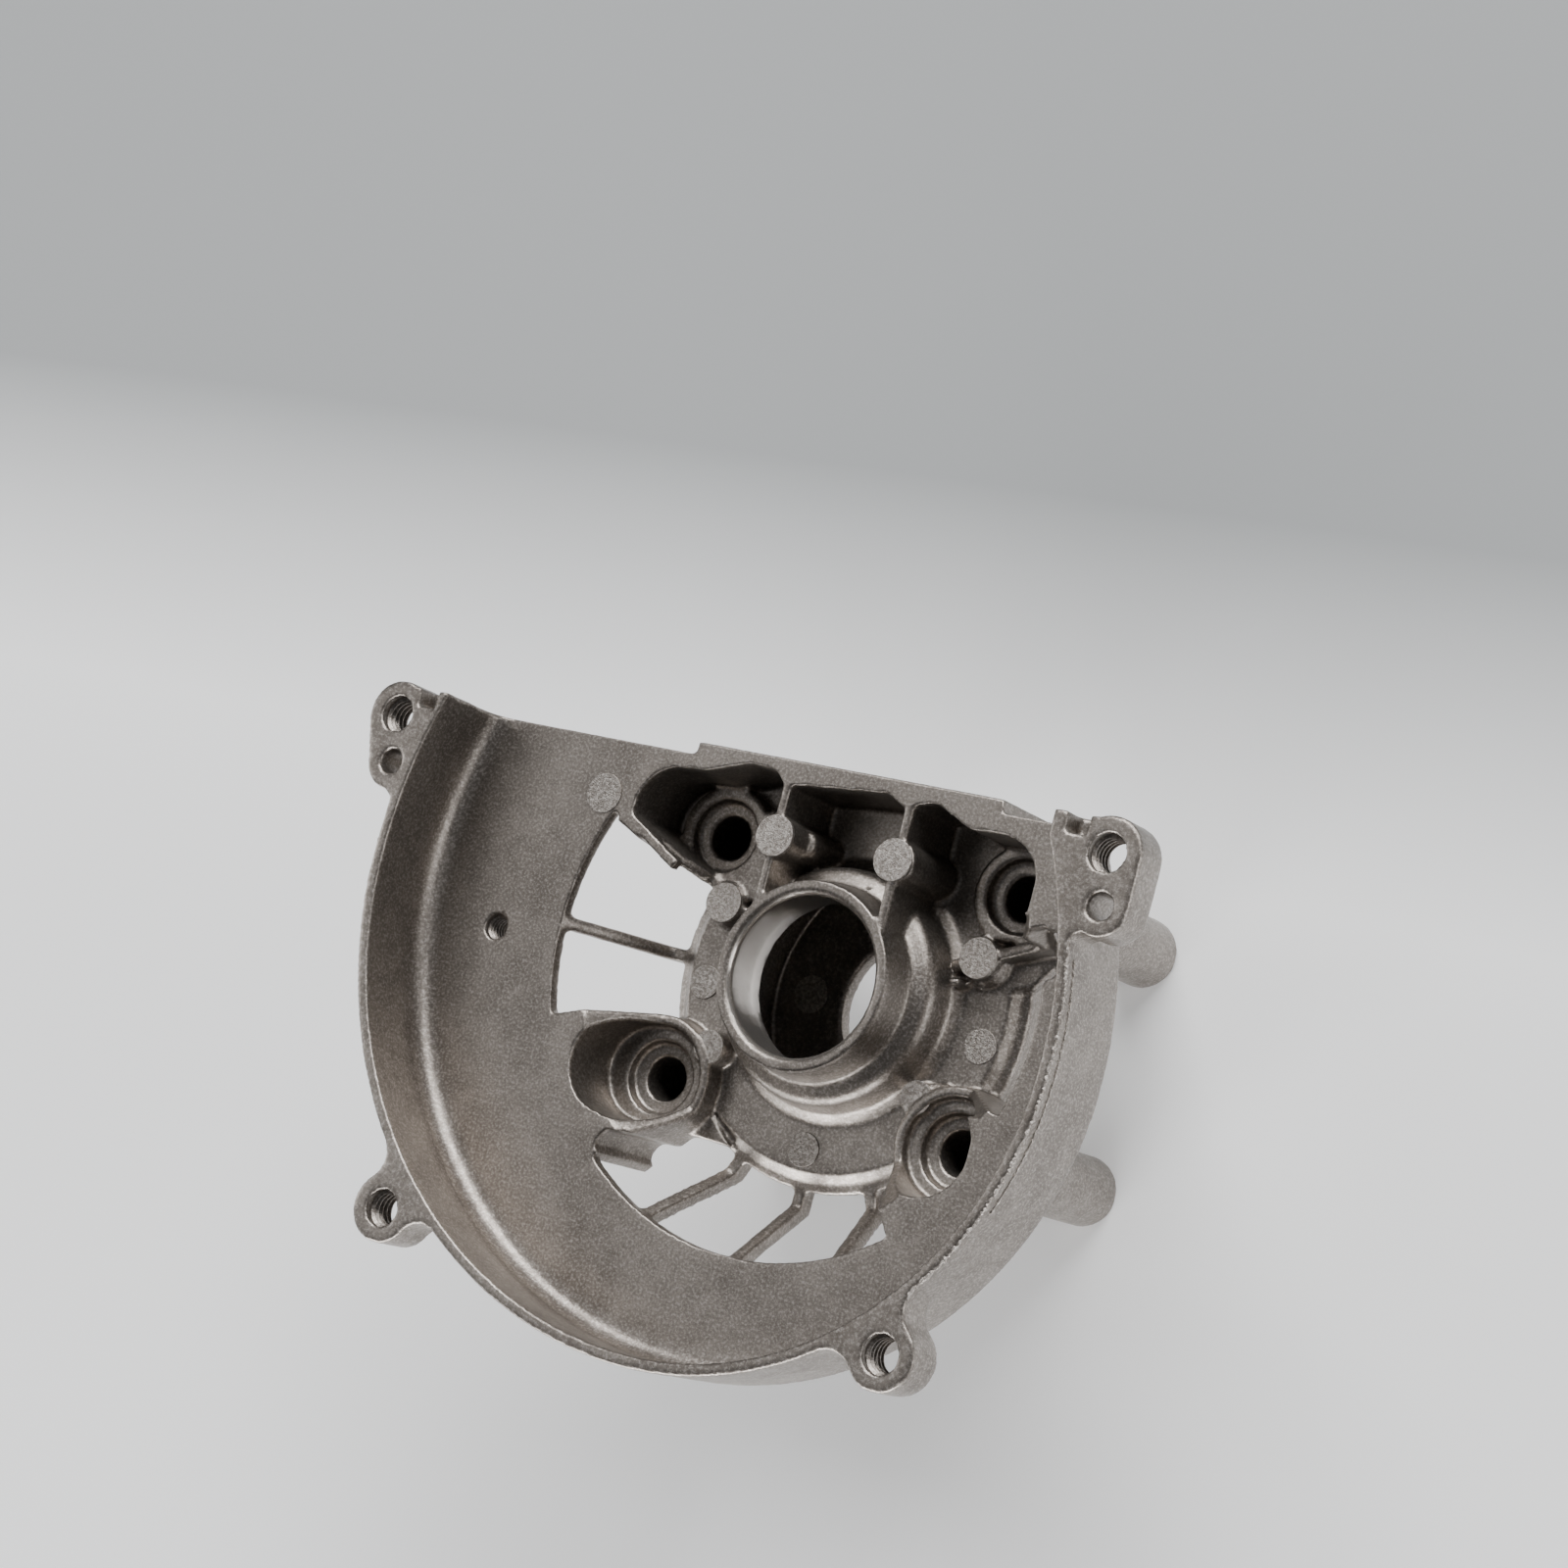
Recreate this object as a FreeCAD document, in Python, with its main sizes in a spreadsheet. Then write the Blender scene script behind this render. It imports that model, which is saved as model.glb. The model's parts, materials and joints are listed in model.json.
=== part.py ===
"""Die-cast aluminium fan housing: one casting with a spiral (scroll) wall, a
spoked air inlet, a stepped hub with a bearing seat, and four screw posts.

Frame: the bore axis is Z and z = 0 is the fan floor, level with the face of
the hub. The rim of the scroll is up (+Z), the four posts stand below, and the
straight edge at the outlet looks along +Y. Lengths are in millimetres.
"""
import FreeCAD, Part
import math
import os
from FreeCAD import Vector

# --- driving dimensions -------------------------------------------------
SIZES = {
    # scroll wall, drawn with arcs whose centres step round a small square
    "scroll_radius": 53.5,      # inner radius of the first quarter, lower right
    "scroll_step": 9.75,        # growth of the radius from quarter to quarter
    "start_radius": 64.8,       # the flatter arc from the right lug to the first quarter
    "start_level": 24.9,        # above this the wall runs straight to the outlet
    "wall_height": 15.0,        # fan floor to rim face
    "wall_thickness": 1.8,
    "wall_lean": 3.4,           # draft of the inner wall, in degrees
    "corner_fillet": 3.2,       # between wall and floor
    "floor_thickness": 2.2,
    "outlet_edge": 29.0,        # the straight edge, measured from the axis
    # lugs on the rim
    "lug_radius": 5.2,
    "lug_thickness": 7.2,
    "small_lug_radius": 4.3,
    "lug_hole_radius": 2.5,     # tapped M6
    "lug_mouth_radius": 2.9,
    "dowel_hole_radius": 1.9,
    "dowel_mouth_radius": 2.3,
    "left_lug_x": -72.6,
    "right_lug_x": 50.6,
    "upper_lug_y": 24.4,
    "left_dowel_x": -71.4,
    "right_dowel_x": 51.5,
    "dowel_y": 17.1,
    "lower_left_lug_x": -50.5,
    "lower_right_lug_x": 36.3,
    "lower_lug_y": -48.3,
    "lug_blend": 4.0,           # hollow blend from a lower lug into the wall
    "notch_width": 3.3,
    "notch_depth": 2.8,
    "notch_drop": 4.5,
    # inlet opening and spokes
    "inlet_radius": 42.1,
    "inlet_shift": -1.0,        # the opening is set off from the axis
    "inlet_right_radius": 39.0,
    "spoke_width": 1.7,
    "spoke_height": 2.6,
    "spoke_step": 22.5,         # angle between spokes
    # hub, seen in section
    "bore_radius": 12.0,        # front bearing seat
    "bore_length": 7.0,
    "bore_chamfer": 0.8,
    "hub_lip": 1.4,             # width of the ring round the bore
    "hub_step_radius": 17.8,
    "hub_step_drop": 7.4,
    "hub_foot_radius": 20.2,
    "web_drop": 14.0,           # hub face down to the face of the web
    "web_radius": 27.2,
    "web_edge_radius": 30.0,
    "web_thickness": 2.6,
    # bell behind the web
    "bell_radius": 24.4,
    "bell_wall": 2.4,
    "bell_depth": 35.0,         # hub face down to the rear wall
    "rear_wall": 3.0,
    "rear_bore_radius": 12.0,
    # screw posts
    "post_span_x": 52.0,
    "post_span_y": 38.0,
    "post_radius": 5.5,
    "post_drop": 56.0,          # hub face down to the post ends
    "screw_hole_radius": 3.4,   # clearance for M6
    "head_radius": 5.6,         # counterbore for a socket head
    "head_seat_drop": 13.1,
    "head_mouth_drop": 11.2,
    "well_radius": 7.8,         # screw well round each head
    "well_wall": 1.6,
    "well_top_drop": 9.6,       # top of the well wall on the hub side
    # raised edge strip at the outlet
    "strip_edge": 31.0,
    "strip_left_x": -27.5,
    "strip_right_x": 25.5,
    "strip_depth": 16.0,
    "strip_wall": 2.6,
    # ribs and ejector pads
    "rib_thickness": 1.5,
    "rib_x": 10.6,
    "post_pad_y": 19.2,
    "large_pad_radius": 3.15,
    "small_pad_radius": 2.55,
    "side_pad_x": 22.3,
    "side_pad_y": 8.9,
    "low_pad_x": 18.2,
    "low_pad_y": -12.9,
    "side_pad_drop": 10.2,
    "floor_hole_x": -54.8,
    "floor_hole_y": -3.1,
    "floor_hole_radius": 1.65,  # tapped M4
    "floor_boss_radius": 4.0,
    "floor_boss_length": 6.0,
}

doc = FreeCAD.newDocument("FanHousing")
sheet = doc.addObject("Spreadsheet::Sheet", "Sizes")
for row, (alias, value) in enumerate(SIZES.items(), start=1):
    sheet.set(f"A{row}", alias)
    sheet.set(f"B{row}", str(value))
    sheet.setAlias(f"B{row}", alias)
doc.recompute()


def size(alias):
    """A driving dimension as a number."""
    return float(sheet.get(alias))


# --- helpers -------------------------------------------------------------
def feature(name, shape):
    """Keep a computed shape as an object of the document."""
    obj = doc.addObject("Part::Feature", name)
    obj.Shape = shape
    return obj


def cylinder(name, radius, height, x, y, z):
    """A cylinder whose sizes and place are expressions on the sheet."""
    obj = doc.addObject("Part::Cylinder", name)
    obj.setExpression("Radius", radius)
    obj.setExpression("Height", height)
    obj.setExpression("Placement.Base.x", x)
    obj.setExpression("Placement.Base.y", y)
    obj.setExpression("Placement.Base.z", z)
    return obj


def cone(name, bottom, top, height, x, y, z):
    """A cone frustum, bound like the cylinders."""
    obj = doc.addObject("Part::Cone", name)
    obj.setExpression("Radius1", bottom)
    obj.setExpression("Radius2", top)
    obj.setExpression("Height", height)
    obj.setExpression("Placement.Base.x", x)
    obj.setExpression("Placement.Base.y", y)
    obj.setExpression("Placement.Base.z", z)
    return obj


def prism(points, bottom, top):
    """A straight prism on a closed outline of (x, y) points."""
    wire = Part.makePolygon([Vector(x, y, bottom) for x, y in points + points[:1]])
    return Part.Face(wire).extrude(Vector(0, 0, top - bottom))


def rounded(points, bottom, top):
    """A prism on (x, y, corner radius) points, each corner an arc."""
    edges, ends = [], []
    count = len(points)
    for i, (x, y, r) in enumerate(points):
        here = Vector(x, y, bottom)
        px, py, _ = points[i - 1]
        nx, ny, _ = points[(i + 1) % count]
        back = (Vector(px, py, bottom) - here).normalize()
        ahead = (Vector(nx, ny, bottom) - here).normalize()
        if r <= 0.0:
            ends.append((here, here))
            continue
        half = back.getAngle(ahead) / 2.0
        cut = r / math.tan(half)
        centre = here + (back + ahead).normalize() * (r / math.sin(half))
        start, end = here + back * cut, here + ahead * cut
        middle = centre + (here - centre).normalize() * r
        edges.append((i, Part.Arc(start, middle, end).toShape()))
        ends.append((start, end))
    arcs = dict(edges)
    ring = []
    for i in range(count):
        if i in arcs:
            ring.append(arcs[i])
        ring.append(Part.makeLine(ends[i][1], ends[(i + 1) % count][0]))
    return Part.Face(Part.Wire(ring)).extrude(Vector(0, 0, top - bottom))


def disc(radius, bottom, top, x=0.0, y=0.0):
    return Part.makeCylinder(radius, top - bottom, Vector(x, y, bottom))


def hull_of_two(first, second, bottom, top):
    """The slot shape round two circles, each given as (x, y, radius)."""
    (ax, ay, ar), (bx, by, br) = first, second
    span = math.hypot(bx - ax, by - ay)
    along = math.atan2(by - ay, bx - ax)
    lean = math.acos((ar - br) / span)
    corners = []
    for (x, y, r), turn in (((ax, ay, ar), lean), ((bx, by, br), lean),
                            ((bx, by, br), -lean), ((ax, ay, ar), -lean)):
        corners.append((x + r * math.cos(along + turn), y + r * math.sin(along + turn)))
    body = prism(corners, bottom, top)
    return body.multiFuse([disc(ar, bottom, top, ax, ay), disc(br, bottom, top, bx, by)])


def wall_between(start, end, thickness, base):
    """An upright wall from (x, y, top) to (x, y, top), its foot at base."""
    (ax, ay, az), (bx, by, bz) = start, end
    span = math.hypot(bx - ax, by - ay)
    side = Vector(-(by - ay) / span, (bx - ax) / span, 0) * thickness
    foot = [Vector(ax, ay, base), Vector(bx, by, base), Vector(bx, by, bz), Vector(ax, ay, az)]
    face = Part.Face(Part.makePolygon([p - side * 0.5 for p in foot + foot[:1]]))
    return face.extrude(side)


def polar(radius, degrees, x=0.0, y=0.0):
    turn = math.radians(degrees)
    return x + radius * math.cos(turn), y + radius * math.sin(turn)


# --- levels and places worked out from the sizes ----------------------------
RIM = size("wall_height")
FLOOR_BACK = -size("floor_thickness")
WEB = -size("web_drop")
WEB_BACK = WEB - size("web_thickness")
POST_END = -size("post_drop")
EDGE = size("outlet_edge")
OUTSIDE = EDGE + 12.0           # beyond the straight edge, for cutting
POSTS = [(i * size("post_span_x") / 2, j * size("post_span_y") / 2)
         for i in (-1, 1) for j in (-1, 1)]


# --- scroll: wall, floor and the fan space inside ---------------------------
def scroll_arcs():
    """The arcs of the inner wall as (centre x, centre y, radius, from, to)."""
    step = size("scroll_step")
    half = step / 2
    radius = size("scroll_radius")
    start = size("start_radius")
    start_x = radius - half - start
    lift = math.degrees(math.asin((size("start_level") + half) / start))
    last = radius + 2 * step
    end = 180.0 - math.degrees(math.asin((OUTSIDE - half) / last))
    return [(start_x, -half, start, lift, 0.0), (-half, -half, radius, 0.0, -90.0),
            (-half, half, radius + step, -90.0, -180.0), (half, half, last, 180.0, end)]


def scroll_edges(offset):
    """Edges of the scroll's outline, closed beyond the straight edge."""
    edges, corners = [], []
    for cx, cy, radius, start, end in scroll_arcs():
        at = [polar(radius + offset, start + (end - start) * k, cx, cy) for k in (0, 0.5, 1)]
        at = [Vector(x, y, 0) for x, y in at]
        edges.append(Part.Arc(*at))
        corners += [at[0], at[2]]
    beyond = Vector(corners[0].x, corners[-1].y, 0)
    edges.append(Part.LineSegment(corners[-1], beyond))
    edges.append(Part.LineSegment(beyond, corners[0]))
    return edges


def scroll_block(name, offset, bottom, height):
    """A body padded from the scroll's outline."""
    block = doc.addObject("PartDesign::Body", name)
    sketch = block.newObject("Sketcher::SketchObject", name + "Outline")
    sketch.AttachmentSupport = [([f for f in block.Origin.OriginFeatures
                                  if f.Role == "XY_Plane"][0], "")]
    sketch.MapMode = "FlatFace"
    sketch.AttachmentOffset = FreeCAD.Placement(Vector(0, 0, bottom), FreeCAD.Rotation())
    for edge in scroll_edges(offset):
        sketch.addGeometry(edge, False)
    pad = block.newObject("PartDesign::Pad", name + "Pad")
    pad.Profile = sketch
    pad.setExpression("Length", height)
    doc.recompute()
    return block, pad


def fan_space():
    """The space for the fan: leaning wall, blended into the floor."""
    block, pad = scroll_block("FanSpace", 0.0, 0.0, "Sizes.wall_height")
    walls = [f"Face{i + 1}" for i, face in enumerate(pad.Shape.Faces)
             if face.Surface.TypeId == "Part::GeomCylinder"]
    draft = block.newObject("PartDesign::Draft", "WallLean")
    draft.Base = (pad, walls)
    top = [f"Face{i + 1}" for i, face in enumerate(pad.Shape.Faces)
           if face.BoundBox.ZMin > RIM - 0.01][0]
    draft.NeutralPlane = (pad, [top])
    draft.setExpression("Angle", "Sizes.wall_lean")
    draft.Reversed = False
    doc.recompute()
    corner = [f"Edge{i + 1}" for i, edge in enumerate(draft.Shape.Edges)
              if edge.BoundBox.ZMax < 0.01 and edge.Curve.TypeId == "Part::GeomCircle"]
    fillet = block.newObject("PartDesign::Fillet", "FloorCorner")
    fillet.Base = (draft, corner)
    fillet.setExpression("Radius", "Sizes.corner_fillet")
    doc.recompute()
    rim = [f for f in block.Shape.Faces if f.BoundBox.ZMin > RIM - 0.01][0]
    return block.Shape.fuse(Part.Face(rim.OuterWire).extrude(Vector(0, 0, 1.0)))


def scroll_body():
    """Outer block of wall and floor, cut straight at the outlet edge."""
    block, _ = scroll_block("ScrollBlock", size("wall_thickness"), FLOOR_BACK,
                            "Sizes.wall_height + Sizes.floor_thickness")
    beyond = Part.makeBox(240, 60, 60, Vector(-120, EDGE, -20))
    return block.Shape.cut(beyond)


def upper_lug(hole_x, dowel_x, inner_x):
    """A lug at the outlet: two holes side by side, filled in to the wall."""
    bottom = RIM - size("lug_thickness")
    round_end = (hole_x, size("upper_lug_y"), size("lug_radius"))
    small_end = (dowel_x, size("dowel_y"), size("small_lug_radius"))
    lug = hull_of_two(round_end, small_end, bottom, RIM)
    low = size("dowel_y") - size("small_lug_radius")
    fill = prism([(hole_x, low + 1.0), (inner_x, low - 5.0), (inner_x, EDGE),
                  (hole_x, EDGE)], bottom, RIM)
    return lug.fuse(fill)


def lower_lug(x, y, arc):
    """A lug with one hole, blended into one arc of the wall by hollow curves."""
    bottom = RIM - size("lug_thickness")
    blend = size("lug_blend")
    lug_r = size("lug_radius")
    cx, cy, inner, _, _ = scroll_arcs()[arc]
    wall_r = inner + size("wall_thickness")
    away = math.hypot(x - cx, y - cy)
    heading = math.degrees(math.atan2(y - cy, x - cx))
    # centres of the two blending curves: they touch the lug and the wall
    near, far = lug_r + blend, wall_r + blend
    reach = (away ** 2 + far ** 2 - near ** 2) / (2 * away * far)
    spread = math.degrees(math.acos(min(1.0, reach)))
    left = polar(far, heading + spread, cx, cy)
    right = polar(far, heading - spread, cx, cy)
    root = wall_r - 0.4
    web = prism([(x, y), left, polar(root, heading + spread, cx, cy),
                 polar(root, heading - spread, cx, cy), right], bottom, RIM)
    for bx, by in (left, right):
        web = web.cut(disc(blend, bottom - 1, RIM + 1, bx, by))
    return web.fuse(disc(lug_r, bottom, RIM, x, y))


space = fan_space()
lugs = [upper_lug(size("left_lug_x"), size("left_dowel_x"), size("left_lug_x") + 8.0),
        upper_lug(size("right_lug_x"), size("right_dowel_x"), size("right_lug_x") - 9.0),
        lower_lug(size("lower_left_lug_x"), size("lower_lug_y"), 2),
        lower_lug(size("lower_right_lug_x"), size("lower_lug_y"), 1)]
scroll = feature("Scroll", scroll_body().multiFuse(lugs).cut(space))


# --- hub, web and bell: one section turned round the axis --------------------
def hub_section():
    """Half section of hub, web and bell as (radius, z) points."""
    bore = size("bore_radius")
    chamfer = size("bore_chamfer")
    lip = bore + chamfer + size("hub_lip")
    step = size("hub_step_radius")
    step_z = -size("hub_step_drop")
    foot = size("hub_foot_radius")
    web = size("web_radius")
    edge = size("web_edge_radius")
    bell = size("bell_radius")
    bell_out = bell + size("bell_wall")
    bell_z = -size("bell_depth")
    rear_z = bell_z - size("rear_wall")
    rear = size("rear_bore_radius")
    seat_z = -size("bore_length")
    shell = size("web_thickness")
    return [(bore + chamfer, 0.0), (lip, 0.0), (lip + 0.6, step_z * 0.85),
            (step - 0.7, step_z), (step, step_z - 0.9), (step + 0.6, WEB + 1.4),
            (foot, WEB), (web, WEB), (web + 1.5, WEB - 1.5), (edge, WEB - 1.8),
            (edge, WEB_BACK - 0.6), (bell_out, WEB_BACK - 0.6), (bell_out, rear_z),
            (rear, rear_z), (rear, bell_z), (bell, bell_z), (bell, WEB_BACK),
            (step - 0.6, WEB_BACK), (step - shell, step_z - shell - 0.8),
            (bore + 0.7, step_z - shell - 0.8), (bore, seat_z), (bore, -chamfer)]


body = doc.addObject("PartDesign::Body", "HubBody")
section = body.newObject("Sketcher::SketchObject", "HubSection")
plane = [f for f in body.Origin.OriginFeatures if f.Role == "XZ_Plane"][0]
section.AttachmentSupport = [(plane, "")]
section.MapMode = "FlatFace"
outline = [Vector(r, z, 0) for r, z in hub_section()]
for start, end in zip(outline, outline[1:] + outline[:1]):
    section.addGeometry(Part.LineSegment(start, end), False)
turned = body.newObject("PartDesign::Revolution", "HubTurned")
turned.Profile = section
turned.ReferenceAxis = (section, ["V_Axis"])
turned.Angle = 360.0
body.Tip = turned
doc.recompute()


# --- inlet: opening, wells round the screw heads, upper pockets ----------------
def inner_section():
    """The hollow through hub and bell as (radius, z) points."""
    bore = size("bore_radius")
    step = size("hub_step_radius")
    shell = size("web_thickness")
    roof = -size("hub_step_drop") - shell - 0.8
    bell_z = -size("bell_depth")
    rear_z = bell_z - size("rear_wall")
    return [(0, 5), (bore + size("bore_chamfer"), 5), (bore + size("bore_chamfer"), 0),
            (bore, -size("bore_chamfer")), (bore, -size("bore_length")),
            (bore + 0.7, roof), (step - shell, roof), (step - 0.6, WEB_BACK),
            (size("bell_radius"), WEB_BACK), (size("bell_radius"), bell_z),
            (size("rear_bore_radius"), bell_z), (size("rear_bore_radius"), rear_z - 5),
            (0, rear_z - 5)]


def turned_solid(points):
    """A solid turned round the axis from (radius, z) points."""
    wire = Part.makePolygon([Vector(r, 0, z) for r, z in points + points[:1]])
    return Part.Face(wire).revolve(Vector(0, 0, 0), Vector(0, 0, 1), 360)


def funnel():
    """The space over the web: wells and walls slope down towards the hub."""
    low = -size("well_top_drop")
    inner = size("web_edge_radius") - 1.0
    cone_top = inner - low * 0.85
    space = turned_solid([(0, low), (inner, low), (cone_top, 0), (cone_top, 3), (0, 3)])
    return space.cut(Part.makeBox(200, 100, 60, Vector(-100, size("web_radius") * 0.63, -40)))


def upper_pocket(bottom, top):
    """The wide pocket round the two upper screw heads, up to the outlet wall."""
    px = size("post_span_x") / 2
    inside = size("strip_edge") - size("strip_wall")
    rib = size("rib_x")
    return rounded([
        (-px + 4.6, 10.3, 0), (-px - 10.0, 18.4, 1.4), (-px - 9.4, inside - 2.2, 7.0),
        (-px + 1.0, inside - 1.6, 3.0), (-rib - 7.0, inside + 0.8, 2.5),
        (-rib - 2.4, inside + 0.4, 2.0), (-rib - 0.2, inside - 1.6, 1.0),
        (-rib + 3.2, inside - 1.0, 2.0), (rib - 4.0, inside + 0.2, 2.0),
        (rib - 1.0, inside - 1.4, 1.0), (rib + 4.0, inside + 0.2, 2.5),
        (px - 5.0, inside - 2.6, 3.0), (px + 7.0, inside - 2.4, 6.5),
        (px + 7.4, 17.0, 3.0), (px + 6.8, 14.9, 0.8), (px + 4.0, 8.0, 0), (0, 0, 0)],
        bottom, top)


def upper_block():
    """Walls round the upper pocket, standing from the web to the fan floor."""
    left, right = size("strip_left_x"), size("strip_right_x")
    strip = size("strip_edge")
    px = size("post_span_x") / 2
    wall = size("well_wall")
    block = rounded([
        (-px + 4.6, 10.3 - wall, 0), (-px - 10.6 - wall, 17.6 - wall / 2, 0.5),
        (-px - 10.6 - wall, EDGE - 3.0, 5.0), (-px - 4.0, EDGE, 2.0),
        (left, EDGE, 0), (left, strip, 0), (right, strip, 0), (right, EDGE, 0),
        (px + 5.0, EDGE, 2.0), (px + 7.4 + wall, EDGE - 3.0, 4.0),
        (px + 7.4 + wall, 13.6, 1.0), (px + 4.0, 8.0 - wall, 0), (0, 0, 0)],
        WEB_BACK, 0.0)
    return block.cut(upper_pocket(WEB, 1.0)).cut(funnel())


def lower_well(side):
    """Walls round a lower screw head, reaching out to the fan floor."""
    x, y = side * size("post_span_x") / 2, -size("post_span_y") / 2
    radius, wall = size("well_radius"), size("well_wall")
    if side < 0:
        tip_a, tip_b = (-41.4, -14.2), (-27.4, -33.6)
    else:
        tip_a, tip_b = (40.0, -14.2), (24.4, -33.0)
    outer = disc(radius + wall, WEB_BACK, 0.0, x, y)
    away = math.atan2(y, x)
    corners = [(x + (radius + wall) * math.cos(away + turn * side),
                y + (radius + wall) * math.sin(away + turn * side)) for turn in (1.9, -1.9)]
    wedge = prism([corners[0], tip_a, tip_b, corners[1]], WEB_BACK, 0.0)
    inner = disc(radius, -size("head_mouth_drop"), 1.0, x, y)
    inner = inner.fuse(disc(radius - 0.3, -size("head_mouth_drop"), 1.0,
                            x + (-1.6 if side < 0 else -0.2), y))
    return outer.fuse(wedge).cut(inner).cut(funnel())


def inlet_opening():
    """The opening cut through the fan floor."""
    low, high = FLOOR_BACK - 1.0, 1.0
    ring = disc(size("inlet_radius"), low, high, size("inlet_shift"), 0.3)
    right = prism([(24.6, -60), (60, -60), (60, 60), (24.6, 60)], low, high)
    upper = prism([(-60, 29.9), (-22, 8.7), (24, 8.7), (60, 8.7), (60, 60), (-60, 60)],
                  low, high)
    side = disc(size("inlet_right_radius"), low, high).common(
        prism([(20, -13.8), (60, -13.8), (60, 12.8), (20, 12.8)], low, high))
    scoop = rounded([(30, 5.6, 0), (37.4, 6.2, 0.8), (41.2, 8.6, 2.0), (39.6, 14.4, 2.0),
                     (34.6, 15.6, 1.0), (30, 15.0, 0)], low, high)
    opening = ring.cut(right).cut(upper).multiFuse([side, scoop, upper_pocket(low, high)])
    return opening


def spoke(degrees):
    """A thin spoke: level at the web, then rising to the fan floor."""
    edge = size("web_edge_radius")
    tall = size("spoke_height")
    rise = size("inlet_radius") + 0.6
    foot = WEB - 1.9
    outline = [(edge - 2, foot), (edge + 2.4, foot), (rise, -0.9), (rise + 1.6, -0.9),
               (rise + 1.6, -0.9 - tall), (edge + 3.2, foot - tall), (edge - 2, foot - tall)]
    wire = Part.makePolygon([Vector(r, 0, z) for r, z in outline + outline[:1]])
    width = size("spoke_width")
    bar = Part.Face(wire).extrude(Vector(0, width, 0))
    bar.translate(Vector(0, -width / 2, 0))
    bar.rotate(Vector(0, 0, 0), Vector(0, 0, 1), degrees)
    return bar


core = turned_solid(inner_section())
step_turn = size("spoke_step")
spokes = [spoke(a * step_turn) for a in (8, -5, -4, -3)]
upper = upper_block()
wells = [lower_well(-1), lower_well(1)]
clear_hub = disc(size("hub_foot_radius") - 1.0, WEB_BACK - 1, 2.0)
inlet = feature("Inlet", upper.multiFuse(wells + spokes).cut(clear_hub))
well_rooms = [disc(size("well_radius"), FLOOR_BACK - 1.0, 1.0, x, y) for x, y in POSTS if y < 0]
floor = feature("FloorWithInlet", scroll.Shape.cut([inlet_opening()] + well_rooms))

# --- ribs and the posts of the ejector pads -------------------------------------
lip = size("bore_radius") + size("bore_chamfer") + size("hub_lip")
ribs = []
for side in (-1, 1):
    x = side * size("rib_x")
    y = math.sqrt(max((lip + 0.1) ** 2 - x ** 2, 1.0)) - 0.5
    top = (x, size("strip_edge") - 1.0, 0.0)
    ribs.append(wall_between(top, (x, y, -0.3), size("rib_thickness"), WEB - 1.0))
pad_x, pad_y = size("side_pad_x"), size("side_pad_y")
drop = -size("side_pad_drop")
ribs.append(wall_between((pad_x, pad_y, drop), (37.5, 12.5, -1.0), 2.6, WEB_BACK))
for x, y in POSTS:
    bx, by = polar(size("bell_radius") + 0.5, math.degrees(math.atan2(y, x)))
    rear = -size("bell_depth") - size("rear_wall")
    ribs.append(wall_between((bx, by, WEB_BACK), (x, y, WEB_BACK), 4.0, rear))
ribs = feature("Ribs", ribs[0].multiFuse(ribs[1:]))

pads = []
for name, x, y, radius, drop in (
        ("UpperPad", "rib_x", "post_pad_y", "large", ""),
        ("SidePad", "side_pad_x", "side_pad_y", "large", " - Sizes.side_pad_drop"),
        ("LowPad", "low_pad_x", "low_pad_y", "small", " - Sizes.side_pad_drop")):
    for side in (-1, 1):
        pads.append(cylinder(f"{name}{'L' if side < 0 else 'R'}",
                             f"Sizes.{radius}_pad_radius", "Sizes.web_drop + 1" + drop,
                             f"{side} * Sizes.{x}", f"Sizes.{y}", "-Sizes.web_drop - 1"))

# --- screw posts ------------------------------------------------------------------
posts, holes = [], []
for i, (sx, sy) in enumerate(((-1, -1), (-1, 1), (1, -1), (1, 1))):
    at_x, at_y = f"{sx} * Sizes.post_span_x / 2", f"{sy} * Sizes.post_span_y / 2"
    posts.append(cylinder(f"Post{i}", "Sizes.post_radius", "Sizes.post_drop - Sizes.web_drop",
                          at_x, at_y, "-Sizes.post_drop"))
    posts.append(cylinder(f"HeadBoss{i}", "Sizes.well_radius",
                          "Sizes.web_drop + Sizes.web_thickness - Sizes.head_mouth_drop",
                          at_x, at_y, "-Sizes.web_drop - Sizes.web_thickness"))
    holes.append(cylinder(f"ScrewHole{i}", "Sizes.screw_hole_radius", "Sizes.post_drop + 20",
                          at_x, at_y, "-Sizes.post_drop - 1"))
    holes.append(cylinder(f"HeadSeat{i}", "Sizes.head_radius", "Sizes.head_seat_drop - 0.5",
                          at_x, at_y, "-Sizes.head_seat_drop"))

# --- holes in the lugs and the floor -------------------------------------------------
def rim_hole(name, radius, mouth, x, y):
    """A through hole in a lug, its mouth flared at the rim face."""
    depth = "Sizes.lug_thickness + 2"
    holes.append(cylinder(name, radius, depth, x, y,
                          "Sizes.wall_height - Sizes.lug_thickness - 1"))
    flare = f"{mouth} - {radius}"
    holes.append(cone(name + "Mouth", radius, mouth, flare, x, y,
                      f"Sizes.wall_height - ({flare})"))


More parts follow.
